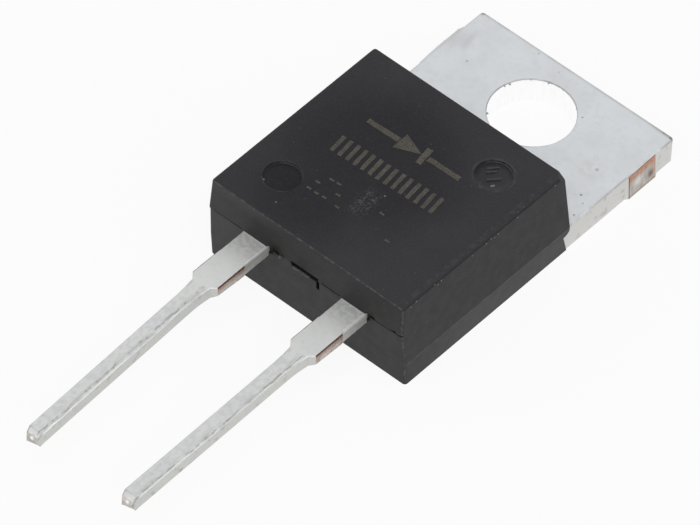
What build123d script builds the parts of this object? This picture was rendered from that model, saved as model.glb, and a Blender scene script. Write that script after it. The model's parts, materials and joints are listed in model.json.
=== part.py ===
"""Two-lead power Schottky diode in a flat moulded package with a drilled metal tab.

The part lies flat on its heat-sink face. The origin is the centre of the mounting hole on that face,
+Y runs from the leads to the end of the tab, +Z points out of the marked face, and +X is to the right
of the marked face with the leads pointing down. All sizes are in millimetres and degrees.
"""
from build123d import *
import os
from math import radians, tan

# Tab: the bare end of the thick copper strip, with the mounting hole
tab_thickness = 1.24
tab_width = 10.05
hole_diameter = 3.6
hole_to_tab_end = 2.83
hole_to_body = 3.54
tab_corner_radius = 0.16
tab_edge_roll = 0.07
hole_edge_roll = 0.06

# Cut remains of the tie bars, one on each side of the tab
stub_length = 1.72
stub_centre_y = 0.86
stub_stand_out = 0.11
stub_root_flare = 0.12

# Die pad: the thick strip carries on inside the body, narrower than the tab
pad_side_inset = 0.875
pad_to_body_front = 3.18
shoulder_roll_height = 0.34
shoulder_roll_depth = 0.45
shoulder_draw_back = 0.26
shoulder_roll_bulge = 0.09
body_lap = 0.02

# Moulded body
body_height = 4.53
body_length = 10.18
body_side_cover = 0.06
body_side_draft = 2.1
body_tab_end_draft = 7.9
body_front_draft = 2.5
body_lower_front_draft = 5.4
body_lower_side_draft = 0.6
front_parting_step = 0.05
body_corner_radius = 0.14
body_top_edge_radius = 0.09

# Chipped corner at the right of the tab end of the marked face
chip_along_end = 0.42
chip_along_side = 0.38
chip_depth = 0.44

# Round mould marks, set in from the edges of the marked face at two opposite corners
mould_mark_diameter = 1.58
mould_mark_depth = 0.10
mould_mark_inset = 1.98
mould_mark_edge_radius = 0.04

# Slot in the front face, where the middle lead of a three-lead package would be
slot_width = 1.44
slot_height = 0.60
slot_depth = 0.60
slot_above_parting = 0.14
slot_tongue_height = 0.42
slot_tongue_gap = 0.16

# Leads: the thin strip
lead_pitch = 5.08
lead_thickness = 0.59
lead_top_height = 2.98
lead_root_width = 1.25
lead_width = 0.72
lead_root_length = 2.92
lead_shoulder_length = 0.32
lead_length = 13.12
lead_tip_length = 0.30
lead_tip_width = 0.50
lead_tip_thickness = 0.30
lead_tip_nose_length = 0.10
lead_edge_radius = 0.05

# Cut remains of the dam bar, on both edges of each lead, next to the shoulder
dam_bar_length = 1.60
dam_bar_stand_out = 0.03

# The leads are a little out of true, as handled: sideways and down, from the shoulder on
cathode_lead_yaw = 1.37
cathode_lead_droop = 1.65
anode_lead_yaw = 0.41
anode_lead_droop = 0.46

# Neck: joins the die pad to the cathode lead, inside the body
neck_width = 1.40
neck_overlap = 0.50
neck_foot_run = 0.40
neck_head_run = 0.45
neck_bend_radius = 0.35

# Bond post: the wide inner end of the anode lead
post_width = 2.50
post_length = 1.70
post_inset = 0.75
post_shift = 0.25

# Chip, its solder and the bond wires
die_size = 1.64
die_thickness = 0.30
solder_thickness = 0.06
solder_margin = 0.08
die_offset_x = 0.30
die_to_body_end = 4.30
wire_diameter = 0.30
wire_spacing = 0.62
wire_loop_height = 0.80
wire_climb_angle = 55.0
wire_bend_radius = 0.55
wire_foot_width = 0.44
wire_foot_length = 0.70
wire_foot_height = 0.16
wire_foot_corner_radius = 0.13

# Two places nearer than this are the same place
same_place = 0.001

# Sizes and places that follow from the sizes above
body_width = tab_width + 2 * body_side_cover
pad_width = tab_width - 2 * pad_side_inset
body_back_y = -hole_to_body
body_front_y = body_back_y - body_length
lower_front_y = body_front_y + front_parting_step
pad_end_y = body_front_y + pad_to_body_front
shoulder_y = body_back_y - shoulder_roll_depth
lead_mid_height = lead_top_height - lead_thickness / 2
lead_bottom_height = lead_top_height - lead_thickness
shoulder_start_y = body_front_y - lead_root_length
narrow_start_y = shoulder_start_y - lead_shoulder_length
lead_tip_y = body_front_y - lead_length
tip_start_y = lead_tip_y + lead_tip_length
tip_nose_y = lead_tip_y + lead_tip_nose_length
die_bottom = tab_thickness + solder_thickness
die_top = die_bottom + die_thickness
die_y = body_back_y - die_to_body_end
post_front_y = body_front_y + post_inset
post_back_y = post_front_y + post_length
cathode_x = -lead_pitch / 2
anode_x = lead_pitch / 2
post_x = anode_x - post_shift


def across(profile, width):
    """A solid whose outline in the YZ plane is given as edges, centred on X = 0."""
    return extrude(make_face(Wire(profile)), width / 2, dir=(1, 0, 0), both=True)


def plate(points, bottom, top):
    """A flat plate whose outline in plan is a polygon."""
    corners = [(x, y, bottom) for x, y in points]
    return extrude(make_face(Polyline(*corners, close=True)), top - bottom, dir=(0, 0, 1))


def box_between(x_from, x_to, y_from, y_to, z_from, z_to):
    size = (x_to - x_from, y_to - y_from, z_to - z_from)
    middle = ((x_from + x_to) / 2, (y_from + y_to) / 2, (z_from + z_to) / 2)
    return Pos(*middle) * Box(*size)


def shoulder_edges(far_y):
    """The stamped shoulder of the tab inside the body, seen from the side, closed at far_y.

    Its upper edge is rolled by the punch, and its lower part is drawn back where the strip broke away.
    """
    roll_start = Vector(0, body_back_y - body_lap, tab_thickness)
    roll_end = Vector(0, shoulder_y, tab_thickness - shoulder_roll_height)
    outwards = (roll_end - roll_start).cross(Vector(-1, 0, 0)).normalized()
    roll_middle = (roll_start + roll_end) * 0.5 + outwards * shoulder_roll_bulge
    bottom_end = Vector(0, shoulder_y + shoulder_draw_back, 0)
    far_bottom = Vector(0, far_y, 0)
    far_top = Vector(0, far_y, tab_thickness)
    return [
        ThreePointArc(roll_start, roll_middle, roll_end),
        Line(roll_end, bottom_end),
        Line(bottom_end, far_bottom),
        Line(far_bottom, far_top),
        Line(far_top, roll_start),
    ]


def stub(to_side):
    """What is left of a tie bar, as thick as the strip and flared at its root."""
    near_end = stub_centre_y - stub_length / 2
    far_end = stub_centre_y + stub_length / 2
    root = tab_width / 2
    inside = root - stub_length
    reach = root + stub_stand_out
    outline = [
        (inside, near_end - stub_root_flare), (root, near_end - stub_root_flare), (reach, near_end),
        (reach, far_end), (root, far_end + stub_root_flare), (inside, far_end + stub_root_flare),
    ]
    return plate([(to_side * x, y) for x, y in outline], 0, tab_thickness)


def tab_plate():
    """The tab with its rolled edges, hole and tie-bar stubs, up to its shoulder inside the body."""
    tab = across(shoulder_edges(hole_to_tab_end), tab_width)
    end_corners = tab.edges().filter_by(Axis.Z).sort_by(Axis.Y)[-2:]
    tab = fillet(end_corners, tab_corner_radius)
    upper_rim = [
        edge for edge in tab.faces().sort_by(Axis.Z)[-1].edges()
        if edge.center().Y > body_back_y
    ]
    tab = fillet(upper_rim, tab_edge_roll)
    for to_side in (-1, 1):
        tab = tab + stub(to_side)
    tab = tab - Cylinder(hole_diameter / 2, 4 * tab_thickness)
    hole_rim = [
        edge for edge in tab.edges().filter_by(GeomType.CIRCLE)
        if abs(edge.radius - hole_diameter / 2) < same_place and edge.center().Z > tab_thickness / 2
    ]
    return fillet(hole_rim, hole_edge_roll)


def lead_section(y, x_left, x_right, height, thickness):
    """The outline across a lead at one place along it, with its corners rounded by the stamping."""
    plane = Plane(origin=((x_left + x_right) / 2, y, height), x_dir=(1, 0, 0), z_dir=(0, -1, 0))
    return plane * RectangleRounded(x_right - x_left, thickness, lead_edge_radius)


def lead(centre_x, yaw, droop):
    """A lead from its inner end to its tip.

    It is a wide root with the dam-bar remains on its edges, a shoulder, and a narrow blade that is
    turned a little out of true. The cut at its tip rolled the top and the sides in, not the underside.
    """
    def across_lead(y, left, right, thickness=lead_thickness):
        past_shoulder = max(narrow_start_y - y, 0)
        x = centre_x + past_shoulder * tan(radians(yaw))
        height = lead_mid_height - past_shoulder * tan(radians(droop))
        height = height - (lead_thickness - thickness) / 2
        return lead_section(y, x - left, x + right, height, thickness)

    root = lead_root_width / 2
    dam_bar = root + dam_bar_stand_out
    blade = lead_width / 2
    tip = lead_tip_width / 2
    nose = (2 * blade + tip) / 3
    nose_thickness = (2 * lead_thickness + lead_tip_thickness) / 3
    return loft([
        across_lead(post_front_y, root, root),
        across_lead(shoulder_start_y + dam_bar_length, root, root),
        across_lead(shoulder_start_y + dam_bar_length - dam_bar_stand_out, dam_bar, dam_bar),
        across_lead(shoulder_start_y, dam_bar, dam_bar),
        across_lead(narrow_start_y, blade, blade),
        across_lead(tip_start_y, blade, blade),
        across_lead(tip_nose_y, nose, nose, nose_thickness),
        across_lead(lead_tip_y, tip, tip, lead_tip_thickness),
    ], ruled=True)


def neck():
    """The bent strip that climbs from the die pad to the lead's level."""
    low = tab_thickness - lead_thickness / 2
    path = FilletPolyline(
        (cathode_x, pad_end_y + neck_overlap, low),
        (cathode_x, pad_end_y - neck_foot_run, low),
        (cathode_x, post_front_y + neck_head_run, lead_mid_height),
        (cathode_x, post_front_y, lead_mid_height),
        radius=neck_bend_radius + lead_thickness / 2,
    )
    start = Plane(origin=path @ 0, x_dir=(1, 0, 0), z_dir=path % 0)
    return sweep(start * Rectangle(neck_width, lead_thickness), path=path)


def cathode_frame():
    pad = box_between(-pad_width / 2, pad_width / 2, pad_end_y, body_back_y, 0, tab_thickness)
    return tab_plate() + pad + neck() + lead(cathode_x, cathode_lead_yaw, cathode_lead_droop)


def anode_lead():
    post = box_between(
        post_x - post_width / 2, post_x + post_width / 2, post_front_y, post_back_y,
        lead_bottom_height, lead_top_height,
    )
    return post + lead(anode_x, anode_lead_yaw, anode_lead_droop)


def die_and_solder():
    place = Pos(die_offset_x, die_y, 0)
    die = place * Pos(0, 0, die_bottom + die_thickness / 2) * Box(die_size, die_size, die_thickness)
    solder_size = die_size + 2 * solder_margin
    solder = place * Pos(0, 0, tab_thickness + solder_thickness / 2) * Box(
        solder_size, solder_size, solder_thickness
    )
    return die, solder


def bond_wire(side):
    """One thick bond wire with a flattened foot at each end; side is -1 for the left one, 1 for the right."""
    shift = side * wire_spacing / 2
    start = Vector(die_offset_x + shift, die_y, die_top + wire_diameter / 2)
    end = Vector(post_x + shift, post_back_y - wire_foot_length, lead_top_height + wire_diameter / 2)
    flat = Vector(end.X - start.X, end.Y - start.Y, 0)
    heading = flat.normalized()
    reach = wire_foot_length / 2
    climb = lead_top_height + wire_loop_height - start.Z
    top_of_loop = start + heading * (reach + climb / tan(radians(wire_climb_angle))) + Vector(0, 0, climb)
    path = FilletPolyline(
        start - heading * reach,
        start + heading * reach,
        top_of_loop,
        end - heading * reach,
        end + heading * reach,
        radius=wire_bend_radius,
    )
    section = Plane(origin=path @ 0, z_dir=path % 0) * Circle(wire_diameter / 2)
    wire = sweep(section, path=path)
    for point in (start, end):
        seat = Plane(
            origin=(point.X, point.Y, point.Z - wire_diameter / 2), x_dir=heading, z_dir=(0, 0, 1)
        )
        foot = RectangleRounded(wire_foot_length, wire_foot_width, wire_foot_corner_radius)
        wire = wire + extrude(seat * foot, wire_foot_height)
    return wire


def side_at(height):
    """Half the body's width at a height: the walls lean in above the tab's top plane and below it."""
    if height > tab_thickness:
        return body_width / 2 - (height - tab_thickness) * tan(radians(body_side_draft))
    return body_width / 2 - (tab_thickness - height) * tan(radians(body_lower_side_draft))


def back_at(height):
    """Where the tab end of the body is at a height above the tab."""
    return body_back_y - (height - tab_thickness) * tan(radians(body_tab_end_draft))


def upper_front_at(height):
    """Where the lead end of the body is at a height above the parting."""
    return body_front_y + (height - lead_top_height) * tan(radians(body_front_draft))


def lower_front_at(height):
    """Where the lead end of the body is at a height below the parting."""
    return lower_front_y + (lead_top_height - height) * tan(radians(body_lower_front_draft))


def body_section(height, back, front):
    """The level outline of the moulding at a height, with rounded corners."""
    outline = RectangleRounded(2 * side_at(height), back - front, body_corner_radius)
    return Pos(0, (back + front) / 2, height) * outline


def body_blank():
    """The whole moulding, in three drafted layers, before anything is taken out of it."""
    upper = loft([
        body_section(lead_top_height, back_at(lead_top_height), body_front_y),
        body_section(body_height, back_at(body_height), upper_front_at(body_height)),
    ], ruled=True)
    rim = upper.faces().sort_by(Axis.Z)[-1].edges()
    upper = fillet(rim, body_top_edge_radius)
    middle = loft([
        body_section(tab_thickness, body_back_y, lower_front_at(tab_thickness)),
        body_section(lead_top_height, back_at(lead_top_height), lower_front_y),
    ], ruled=True)
    lower = loft([
        body_section(0, body_back_y, lower_front_at(0)),
        body_section(tab_thickness, body_back_y, lower_front_at(tab_thickness)),
    ], ruled=True)
    lower = lower - across(shoulder_edges(hole_to_tab_end), 2 * body_width)
    return upper + middle + lower


def chip_cutter():
    """The corner of the marked face that is chipped off, as a plane through three points."""
    corner_x = side_at(body_height)
    corner_y = back_at(body_height)
    end_point = Vector(corner_x - chip_along_end, corner_y, body_height)
    side_point = Vector(corner_x, corner_y - chip_along_side, body_height)
    low_height = body_height - chip_depth
    low_point = Vector(side_at(low_height), back_at(low_height), low_height)
    outward = (side_point - end_point).cross(low_point - end_point).normalized()
    if outward.X < 0:
        outward = outward * -1
    block = 4 * max(chip_along_end, chip_along_side, chip_depth)
    return Plane(origin=end_point, z_dir=outward) * Pos(0, 0, block / 2) * Box(block, block, block)


def mould_mark(x, y):
    """A round mark that an ejector pin or a cavity insert leaves in the marked face."""
    mark = Pos(x, y, body_height) * Cylinder(mould_mark_diameter / 2, 2 * mould_mark_depth)
    return fillet(mark.faces().sort_by(Axis.Z)[0].edges(), mould_mark_edge_radius)


def moulded_body(inner_pieces):
    mark_x = side_at(body_height) - mould_mark_inset
    body = body_blank() - chip_cutter()
    body = body - mould_mark(mark_x, back_at(body_height) - mould_mark_inset)
    body = body - mould_mark(-mark_x, upper_front_at(body_height) + mould_mark_inset)
    slot_bottom = lead_top_height - slot_height
    tongue_top = slot_bottom + slot_tongue_height
    slot_front = body_front_y - slot_depth
    slot_end = lower_front_y + slot_depth
    body = body - box_between(
        -slot_width / 2, slot_width / 2, slot_front, slot_end,
        tongue_top, lead_top_height + slot_above_parting,
    )
    body = body - box_between(
        slot_width / 2 - slot_tongue_gap, slot_width / 2, slot_front, slot_end,
        slot_bottom, tongue_top,
    )
    for piece in inner_pieces:
        body = body - piece
    return body


cathode = cathode_frame()
anode = anode_lead()
die, solder = die_and_solder()
left_wire = bond_wire(-1)
right_wire = bond_wire(1)

nodes = {
    "cathode_frame": cathode,
    "anode_lead": anode,
    "silicon_carbide_die": die,
    "die_solder": solder,
    "bond_wire_1": left_wire,
    "bond_wire_2": right_wire,
    "moulded_body": moulded_body([cathode, anode, die, solder, left_wire, right_wire]),
}

os.makedirs("parts", exist_ok=True)
for name, shape in nodes.items():
    export_step(shape, f"parts/{name}.step")
    print(name, len(shape.solids()), round(shape.volume, 3))
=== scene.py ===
import json
import math

import bmesh
import bpy
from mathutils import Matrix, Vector

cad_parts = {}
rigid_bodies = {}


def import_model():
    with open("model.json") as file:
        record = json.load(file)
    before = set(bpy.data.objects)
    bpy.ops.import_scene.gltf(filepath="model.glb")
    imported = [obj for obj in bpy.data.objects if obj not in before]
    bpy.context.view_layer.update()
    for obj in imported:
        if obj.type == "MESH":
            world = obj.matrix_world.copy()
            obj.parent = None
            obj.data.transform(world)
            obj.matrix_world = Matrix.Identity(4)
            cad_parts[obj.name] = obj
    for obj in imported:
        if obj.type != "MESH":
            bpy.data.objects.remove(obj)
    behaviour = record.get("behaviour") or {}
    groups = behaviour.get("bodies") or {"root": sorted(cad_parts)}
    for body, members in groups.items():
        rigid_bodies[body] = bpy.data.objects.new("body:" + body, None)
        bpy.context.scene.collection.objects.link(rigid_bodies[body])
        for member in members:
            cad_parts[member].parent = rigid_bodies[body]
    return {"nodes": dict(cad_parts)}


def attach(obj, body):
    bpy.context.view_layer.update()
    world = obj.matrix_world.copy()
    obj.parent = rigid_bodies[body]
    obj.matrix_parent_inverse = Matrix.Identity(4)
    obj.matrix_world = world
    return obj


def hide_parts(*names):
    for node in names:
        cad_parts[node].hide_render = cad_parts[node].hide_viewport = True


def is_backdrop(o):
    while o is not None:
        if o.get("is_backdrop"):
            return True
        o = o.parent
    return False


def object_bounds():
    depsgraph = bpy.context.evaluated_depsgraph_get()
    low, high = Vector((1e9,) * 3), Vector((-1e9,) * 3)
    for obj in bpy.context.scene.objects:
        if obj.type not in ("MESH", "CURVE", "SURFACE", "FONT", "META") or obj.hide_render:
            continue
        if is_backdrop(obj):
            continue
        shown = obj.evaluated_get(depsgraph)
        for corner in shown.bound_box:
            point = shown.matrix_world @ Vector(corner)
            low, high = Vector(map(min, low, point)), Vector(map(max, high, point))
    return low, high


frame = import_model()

cad_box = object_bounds()
bpy.ops.object.select_all(action="DESELECT")


# The stamped frame: drilled tab, die pad, neck and cathode lead.
# One piece, punched from a copper strip of two thicknesses and plated with matt tin once it is moulded in.
# Its tie bars, dam bar and tip are sheared off last, so bare copper shows in those cuts.

mm = 0.001

# Sizes and places in millimetres, from the middle of the hole and the flat underside. Past stub_face, to
# either side, lie only the cut faces of the tie bars.
tab_top = 1.24
tab_end = 2.83
tab_side = 5.025
hole_radius = 1.80
stub_face = 5.10
lead_middle = 2.54
lead_underside = 2.39
lead_thickness = 0.59
dam_bar_start = -15.06
dam_bar_end = -16.64
shoulder_end = -16.96
tip_end = -26.84
cathode_lead_yaw = 1.37
anode_lead_yaw = 0.41
body_front = -13.72


class Finish:
    """The finish of one kind of surface: a material, with its place on the piece in millimetres."""

    def __init__(self, name):
        self.material = bpy.data.materials.new(name)
        self.material.use_nodes = True
        self.nodes = self.material.node_tree.nodes
        self.shader = self.nodes["Principled BSDF"]
        coordinates = self.nodes.new("ShaderNodeTexCoord")
        scale = self.nodes.new("ShaderNodeVectorMath")
        scale.operation = "SCALE"
        scale.inputs["Scale"].default_value = 1000
        self.join(coordinates.outputs["Object"], scale.inputs[0])
        self.place = scale.outputs[0]
        split = self.nodes.new("ShaderNodeSeparateXYZ")
        self.join(self.place, split.inputs[0])
        self.x, self.y, self.z = split.outputs
        facing = self.nodes.new("ShaderNodeSeparateXYZ")
        self.join(coordinates.outputs["Normal"], facing.inputs[0])
        self.facing_x, self.facing_y, self.facing_up = facing.outputs
        self.colour = (1.0, 1.0, 1.0)

    def join(self, value, socket):
        """Sets a socket to a plain value, or links it to another socket."""
        if isinstance(value, bpy.types.NodeSocket):
            self.material.node_tree.links.new(value, socket)
        else:
            socket.default_value = value

    def reckon(self, operation, *values):
        """The result of one sum on numbers or sockets."""
        node = self.nodes.new("ShaderNodeMath")
        node.operation = operation
        for socket, value in zip(node.inputs, values):
            self.join(value, socket)
        return node.outputs[0]

    def fade(self, value, start, end, low=0.0, high=1.0):
        """Goes smoothly from low to high as value goes from start to end."""
        node = self.nodes.new("ShaderNodeMapRange")
        node.interpolation_type = "SMOOTHSTEP"
        self.join(value, node.inputs["Value"])
        for name, number in (("From Min", start), ("From Max", end), ("To Min", low), ("To Max", high)):
            self.join(number, node.inputs[name])
        return node.outputs[0]

    def near(self, value, middle, reach):
        """1 where value is at the middle, fading to 0 at a distance of reach."""
        gap = self.reckon("ABSOLUTE", self.reckon("SUBTRACT", value, middle))
        return self.fade(gap, reach, reach * 0.3)

    def rest(self, share):
        """What a share leaves of 1."""
        return self.reckon("SUBTRACT", 1.0, share)

    def both(self, *shares):
        """The shares multiplied together."""
        result = shares[0]
        for share in shares[1:]:
            result = self.reckon("MULTIPLY", result, share)
        return result

    def most(self, *shares):
        """The largest of the shares."""
        result = shares[0]
        for share in shares[1:]:
            result = self.reckon("MAXIMUM", result, share)
        return result

    def patches(self, size, detail=3.0, stretch=(1, 1, 1), shift=0.0):
        """Soft random patches, from 0 to 1, about size millimetres across."""
        turn = self.nodes.new("ShaderNodeMapping")
        turn.inputs["Scale"].default_value = [1 / length for length in stretch]
        turn.inputs["Location"].default_value = (shift, shift, shift)
        self.join(self.place, turn.inputs["Vector"])
        texture = self.nodes.new("ShaderNodeTexNoise")
        texture.inputs["Scale"].default_value = 1 / size
        texture.inputs["Detail"].default_value = detail
        self.join(turn.outputs[0], texture.inputs["Vector"])
        return texture.outputs["Fac"]

    def wobble(self, reach, size, detail=3.0, shift=0.0):
        """A soft random step to either side, by half of reach at most, over patches of a size."""
        step = self.reckon("SUBTRACT", self.patches(size, detail, shift=shift), 0.5)
        return self.reckon("MULTIPLY", step, reach)

    def specks(self, spacing, radius, share):
        """Small round specks: one in some of the cells of a random net."""
        net = self.nodes.new("ShaderNodeTexVoronoi")
        net.inputs["Scale"].default_value = 1 / spacing
        self.join(self.place, net.inputs["Vector"])
        pick = self.nodes.new("ShaderNodeSeparateColor")
        self.join(net.outputs["Color"], pick.inputs[0])
        chosen = self.fade(pick.outputs[0], share, share - 0.01)
        return self.both(chosen, self.fade(net.outputs["Distance"], radius / spacing, 0.4 * radius / spacing))

    def spot(self, middle, radius, core=0.9):
        """A round spot about a point. A coordinate given as None doesn't count."""
        point = self.nodes.new("ShaderNodeCombineXYZ")
        for value, number, socket in zip((self.x, self.y, self.z), middle, point.inputs):
            if number is not None:
                self.join(value, socket)
        away = self.nodes.new("ShaderNodeVectorMath")
        away.operation = "DISTANCE"
        self.join(point.outputs[0], away.inputs[0])
        away.inputs[1].default_value = [number or 0 for number in middle]
        return self.fade(away.outputs["Value"], radius, radius * core)

    def tint(self, share, first, second):
        """The first colour, with a share of the second over it."""
        node = self.nodes.new("ShaderNodeMix")
        node.data_type = "RGBA"
        self.join(share, node.inputs[0])
        for socket, colour in ((node.inputs[6], first), (node.inputs[7], second)):
            self.join((*colour, 1) if isinstance(colour, tuple) else colour, socket)
        return node.outputs[2]

    def paint(self, share, tone):
        """Lays a share of a tone, from 0 to 1, over the colour so far."""
        self.colour = self.tint(share, self.colour, tone)

    def relief(self, height, depth, strength=1.0):
        """Fine relief, depth millimetres deep."""
        bump = self.nodes.new("ShaderNodeBump")
        bump.inputs["Strength"].default_value = strength
        bump.inputs["Distance"].default_value = depth * mm
        self.join(height, bump.inputs["Height"])
        self.join(bump.outputs[0], self.shader.inputs["Normal"])

    def set(self, **values):
        """Sets sockets of the shader, such as Base_Color, to values or links."""
        for name, value in values.items():
            value = (*value, 1) if isinstance(value, tuple) else value
            self.join(value, self.shader.inputs[name.replace("_", " ")])


def pick(piece):
    """Makes a piece the only one that the next step works on."""
    bpy.ops.object.select_all(action="DESELECT")
    piece.select_set(True)
    bpy.context.view_layer.objects.active = piece


def open_mesh(piece, elements="FACE"):
    """Opens one piece's mesh for shaping, with nothing in it selected."""
    pick(piece)
    bpy.ops.object.mode_set(mode="EDIT")
    bpy.ops.mesh.select_mode(type=elements)
    bpy.ops.mesh.select_all(action="DESELECT")


def select_faces(piece, wanted):
    """Selects the faces whose middle, in millimetres, and normal pass a test."""
    shape = bmesh.from_edit_mesh(piece.data)
    for face in shape.faces:
        if wanted(face.calc_center_median() / mm, face.normal):
            face.select_set(True)
    bmesh.update_edit_mesh(piece.data)


def select_edges(piece, wanted):
    """Selects the edges whose two ends, in millimetres, pass a test."""
    shape = bmesh.from_edit_mesh(piece.data)
    for edge in shape.edges:
        if wanted(edge.verts[0].co / mm, edge.verts[1].co / mm):
            edge.select_set(True)
    bmesh.update_edit_mesh(piece.data)


def move_points(piece, wanted, shift):
    """Moves the points whose place, in millimetres, passes a test, by what a rule gives for that place."""
    shape = bmesh.from_edit_mesh(piece.data)
    for vertex in shape.verts:
        place = vertex.co / mm
        if wanted(place):
            vertex.co += Vector(shift(place)) * mm
    bmesh.update_edit_mesh(piece.data)


def lay_finish(piece, finish):
    """Gives the selected faces one of the piece's finishes."""
    piece.active_material_index = piece.data.materials.find(finish.material.name)
    bpy.ops.object.material_slot_assign()


def roughen(piece, unevenness, seed):
    """Shifts every point of a small piece at random, by so many millimetres at most."""
    open_mesh(piece, "VERT")
    bpy.ops.mesh.select_all(action="SELECT")
    bpy.ops.transform.vertex_random(offset=unevenness * mm, seed=seed)
    bpy.ops.object.mode_set(mode="OBJECT")


def new_piece(finish):
    """The shape that was just added, its size and place taken up in its mesh, with its finish on."""
    bpy.ops.object.transform_apply(location=True, rotation=True, scale=True)
    piece = bpy.context.object
    piece.data.materials.append(finish.material)
    return piece


def merged_copy(node, name, finishes):
    """A copy of a solid's mesh to shape further, its loose triangles joined up."""
    piece = bpy.data.objects.new(name, frame["nodes"][node].data.copy())
    bpy.context.collection.objects.link(piece)
    piece.data.materials.clear()
    for finish in finishes:
        piece.data.materials.append(finish.material)
    open_mesh(piece)
    bpy.ops.mesh.select_all(action="SELECT")
    lay_finish(piece, finishes[0])
    bpy.ops.mesh.remove_doubles(threshold=0.0002 * mm)
    bpy.ops.object.mode_set(mode="OBJECT")
    bpy.ops.mesh.customdata_custom_splitnormals_clear()
    return piece


def tear_face(piece, wanted, finish, cuts, unevenness, seed, ragged=False):
    """Turns a flat face into a sheared one, uneven where the metal tore, and maybe with a ragged rim."""
    open_mesh(piece)
    select_faces(piece, wanted)
    bpy.ops.mesh.subdivide(number_cuts=cuts)
    lay_finish(piece, finish)
    if not ragged:
        bpy.ops.mesh.select_less()
    bpy.ops.transform.vertex_random(offset=unevenness * mm, seed=seed)
    bpy.ops.object.mode_set(mode="OBJECT")


def work(piece, tool, operation):
    """Cuts a tool's shape out of a piece, or builds it on, with the tool's finish, and removes the tool."""
    pick(piece)
    step = piece.modifiers.new("work", "BOOLEAN")
    step.operation = operation
    step.solver = "EXACT"
    step.material_mode = "TRANSFER"
    step.object = tool
    bpy.ops.object.modifier_apply(modifier=step.name)
    bpy.data.objects.remove(tool)


def even_shading(piece):
    """Shades a piece smooth except at its sharp edges, its flat faces truly flat."""
    pick(piece)
    bpy.ops.object.shade_smooth_by_angle(angle=math.radians(30))
    step = piece.modifiers.new("even_shading", "WEIGHTED_NORMAL")
    step.keep_sharp = True
    bpy.ops.object.modifier_apply(modifier=step.name)


def across_lead(finish, middle, yaw):
    """How far a point is to the right of a lead's middle line, which turns aside past the shoulder."""
    along = finish.reckon("MAXIMUM", finish.reckon("SUBTRACT", shoulder_end, finish.y), 0.0)
    drift = finish.reckon("MULTIPLY", along, math.tan(math.radians(yaw)))
    return finish.reckon("SUBTRACT", finish.reckon("SUBTRACT", finish.x, middle), drift)


tin = Finish("matt_tin")
on_leads = tin.fade(tin.y, body_front + 0.22, body_front + 0.12)
on_tab = tin.rest(on_leads)
tin.colour = tin.tint(on_leads, (0.650, 0.668, 0.692), (0.636, 0.645, 0.634))
clouds = tin.fade(tin.patches(1.3, 4.0), 0.35, 0.70)
tin.paint(tin.both(clouds, 0.45), (0.570, 0.583, 0.592))
mottle = tin.fade(tin.patches(0.22, 3.0, shift=7.0), 0.48, 0.72)
tin.paint(tin.both(mottle, 0.22), (0.500, 0.512, 0.512))

# The sides were cut before plating, so their tin is rougher and warmer, with olive stains.
upright = tin.fade(tin.facing_up, 0.45, 0.25)
tin.paint(tin.both(upright, on_tab), (0.655, 0.650, 0.634))
tin.paint(tin.both(upright, on_leads, 0.5), (0.600, 0.603, 0.565))
olive = tin.fade(tin.patches(0.40, 4.0, shift=5.5), 0.55, 0.72)
tin.paint(tin.both(upright, olive, 0.40), (0.300, 0.300, 0.255))

# The rolled edges of the tab are painted darker, as painted shade: in broken patches on the near side and all
# along the far side, with bands of painted shade along the far end, the right and left edges, and most of all
# at the far corners.
rolled = tin.both(on_tab, tin.fade(tin.facing_up, 0.97, 0.90), tin.fade(tin.facing_up, 0.20, 0.35))
far_side = tin.fade(tin.reckon("SUBTRACT", tin.facing_y, tin.facing_x), -0.1, 0.4)
near_side = tin.rest(far_side)
broken = tin.fade(tin.patches(0.6, 3.0, shift=2.5), 0.40, 0.60)
tin.paint(tin.both(rolled, near_side, broken, 0.45), (0.300, 0.305, 0.280))
tin.paint(tin.both(rolled, far_side, 0.50), (0.300, 0.292, 0.270))
far_edge_shade = tin.both(
    on_tab, tin.fade(tin.y, tab_end - 0.19, tab_end - 0.05), tin.fade(tin.z, tab_top - 0.14, tab_top - 0.06),
    tin.fade(broken, 0.0, 1.0, 0.35, 0.55),
)
tin.paint(far_edge_shade, (0.360, 0.350, 0.330))
tab_right_edge_shade = tin.both(
    on_tab, tin.fade(tin.x, tab_side - 0.095, tab_side - 0.045),
    tin.fade(tin.z, tab_top - 0.09, tab_top - 0.04), broken, 0.35,
)
tin.paint(tab_right_edge_shade, (0.300, 0.302, 0.285))
# Painted shade at the far right corner, on its top and on its side.
corner = tin.both(
    on_tab, tin.fade(tin.x, 3.4, 4.9), tin.fade(tin.y, tab_end - 0.23, tab_end - 0.05),
    tin.fade(tin.z, tab_top - 0.19, tab_top - 0.06), 0.55,
)
tin.paint(corner, (0.200, 0.200, 0.185))
far_corner_side_shade = tin.both(
    upright, on_tab, tin.fade(tin.x, tab_side - 0.095, tab_side - 0.035),
    tin.fade(tin.y, tab_end - 0.15, tab_end - 0.03), 0.45,
)
tin.paint(far_corner_side_shade, (0.300, 0.300, 0.280))
tab_left_edge_shade = tin.both(
    on_tab, tin.fade(tin.x, -tab_side + 0.095, -tab_side + 0.045),
    tin.fade(tin.z, tab_top - 0.14, tab_top - 0.09), 0.20,
)
tin.paint(tab_left_edge_shade, (0.330, 0.300, 0.270))
# Painted shade on the far half of the hole's rim, under the burr.
far_half_of_hole = tin.fade(tin.reckon("SUBTRACT", tin.y, tin.x), -0.4, 0.6)
hole_rim_shade = tin.both(on_tab, far_half_of_hole, tin.spot((0, 0, None), hole_radius + 0.068, 0.965), 0.40)
tin.paint(hole_rim_shade, (0.130, 0.128, 0.120))
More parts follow.
